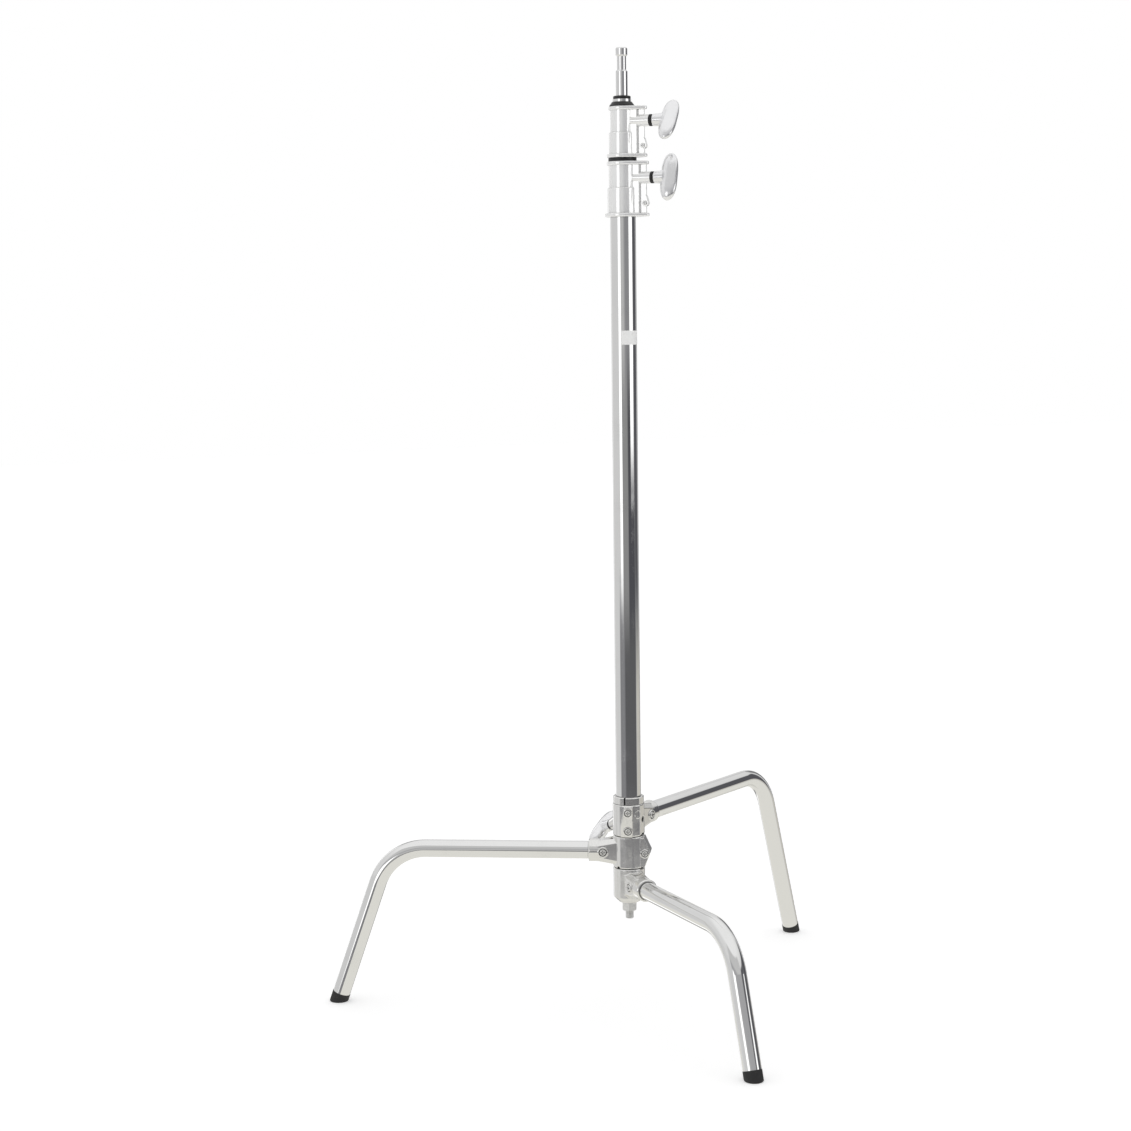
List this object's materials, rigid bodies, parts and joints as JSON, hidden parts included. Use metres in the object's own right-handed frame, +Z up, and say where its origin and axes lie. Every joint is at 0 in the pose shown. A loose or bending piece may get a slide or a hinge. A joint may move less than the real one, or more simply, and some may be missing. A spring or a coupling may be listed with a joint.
{
  "type": "c stand",
  "caption": "Lighting stand with folding nested legs, a sliding lockable leg, a column with telescopic risers clamped by T-handle screws, and a grooved pin on top.",
  "frame": {"origin": "on the column's axis, at floor level", "axes": "+Z up along the column; the low leg points along -Y, the sliding top leg and the middle leg stand 120 degrees to each side of it"},
  "size_m": [0.7909, 0.6137, 1.34],
  "materials": {
    "chrome_tube": "bright polished chrome plating on steel tube",
    "base_casting": "satin cast metal",
    "collar_casting": "polished and plated casting",
    "polished_handle": "polished cast handle",
    "steel": "zinc-plated steel",
    "pin_steel": "turned and plated steel",
    "black_rubber": "matt black rubber",
    "black_plastic": "black moulded plastic",
    "brass": "plain brass",
    "label_film": "blank white film"
  },
  "bodies": {
    "root": {"column_tube": "chrome_tube", "column_plug": "steel", "base_stud": "steel", "base_washer": "steel", "base_nut": "steel", "base_spring": "steel", "retaining_ring": "steel", "low_bracket": "base_casting", "low_leg_tube": "chrome_tube", "low_leg_screw": "steel", "low_foot": "black_rubber", "detent_ball": "steel", "detent_spring": "steel", "column_label": "label_film", "lower_collar": "collar_casting", "lower_collar_screw": "steel", "lower_bushing": "black_plastic", "lower_lock_bush": "black_plastic"},
    "middle_leg": {"middle_bracket": "base_casting", "middle_leg_tube": "chrome_tube", "middle_leg_screw": "steel", "middle_foot": "black_rubber", "middle_bracket_screw": "steel"},
    "leg_sleeve": {"top_sleeve": "base_casting"},
    "top_leg": {"top_bracket": "base_casting", "top_leg_tube": "chrome_tube", "top_leg_screw": "steel", "top_foot": "black_rubber", "pad_screws": "steel", "leg_lock_bush": "black_plastic"},
    "leg_lock_shoe": {"leg_brake_shoe": "brass"},
    "leg_lock": {"leg_handle": "polished_handle", "leg_lock_screw": "steel"},
    "riser_2_carrier": {"riser_2_guide": "black_plastic"},
    "riser_2": {"riser_2_tube": "chrome_tube", "upper_collar": "collar_casting", "upper_collar_screw": "steel", "upper_bushing": "black_plastic", "upper_lock_bush": "black_plastic"},
    "riser_3_carrier": {"riser_3_guide": "black_plastic"},
    "riser_3": {"riser_3_tube": "chrome_tube", "top_pin": "pin_steel", "pin_ring": "black_plastic"},
    "lower_lock_shoe": {"lower_brake_shoe": "brass"},
    "lower_lock": {"lower_handle": "polished_handle", "lower_lock_screw": "steel"},
    "upper_lock_shoe": {"upper_brake_shoe": "brass"},
    "upper_lock": {"upper_handle": "polished_handle", "upper_lock_screw": "steel"}
  },
  "joints": [
    {"name": "middle_leg_swivel", "type": "hinge", "parent": "root", "child": "middle_leg", "pos_m": [0, 0, 0.226], "axis": [0, 0, 1], "range_deg": [0, 120]},
    {"name": "top_leg_slide", "type": "slide", "parent": "root", "child": "leg_sleeve", "axis": [0, 0, 1], "range_m": [0, 0.6]},
    {"name": "top_leg_swivel", "type": "hinge", "parent": "leg_sleeve", "child": "top_leg", "pos_m": [0, 0, 0.272], "axis": [0, 0, 1], "range_deg": [-120, 0]},
    {"name": "riser_2_lift", "type": "slide", "parent": "root", "child": "riser_2_carrier", "axis": [0, 0, 1], "range_m": [0, 0.93]},
    {"name": "riser_2_swivel", "type": "hinge", "parent": "riser_2_carrier", "child": "riser_2", "pos_m": [0, 0, 1.2], "axis": [0, 0, 1], "continuous": true},
    {"name": "riser_3_lift", "type": "slide", "parent": "riser_2", "child": "riser_3_carrier", "axis": [0, 0, 1], "range_m": [0, 0.95]},
    {"name": "riser_3_swivel", "type": "hinge", "parent": "riser_3_carrier", "child": "riser_3", "pos_m": [0, 0, 1.27], "axis": [0, 0, 1], "continuous": true},
    {"name": "lower_lock_travel", "type": "slide", "parent": "root", "child": "lower_lock_shoe", "axis": [0.6691, -0.7431, 0], "range_m": [0, 0.0031]},
    {"name": "lower_lock_turn", "type": "hinge", "parent": "lower_lock_shoe", "child": "lower_lock", "pos_m": [0, 0, 1.1643], "axis": [0.6691, -0.7431, 0], "range_deg": [0, 720]},
    {"name": "upper_lock_travel", "type": "slide", "parent": "riser_2", "child": "upper_lock_shoe", "axis": [0.6691, -0.7431, 0], "range_m": [0, 0.0031]},
    {"name": "upper_lock_turn", "type": "hinge", "parent": "upper_lock_shoe", "child": "upper_lock", "pos_m": [0, 0, 1.241], "axis": [0.6691, -0.7431, 0], "range_deg": [0, 720]},
    {"name": "leg_lock_travel", "type": "slide", "parent": "top_leg", "child": "leg_lock_shoe", "axis": [-0.161, 0.9131, -0.3746], "range_m": [0, 0.0031]},
    {"name": "leg_lock_turn", "type": "hinge", "parent": "leg_lock_shoe", "child": "leg_lock", "pos_m": [0, 0, 0.272], "axis": [-0.161, 0.9131, -0.3746], "range_deg": [0, 720]}
  ],
  "couplings": [
    {"joint": "lower_lock_travel", "follows": "lower_lock_turn", "m_per_rad": 0.00023873},
    {"joint": "upper_lock_travel", "follows": "upper_lock_turn", "m_per_rad": 0.00023873},
    {"joint": "leg_lock_travel", "follows": "leg_lock_turn", "m_per_rad": 0.00023873}
  ]
}
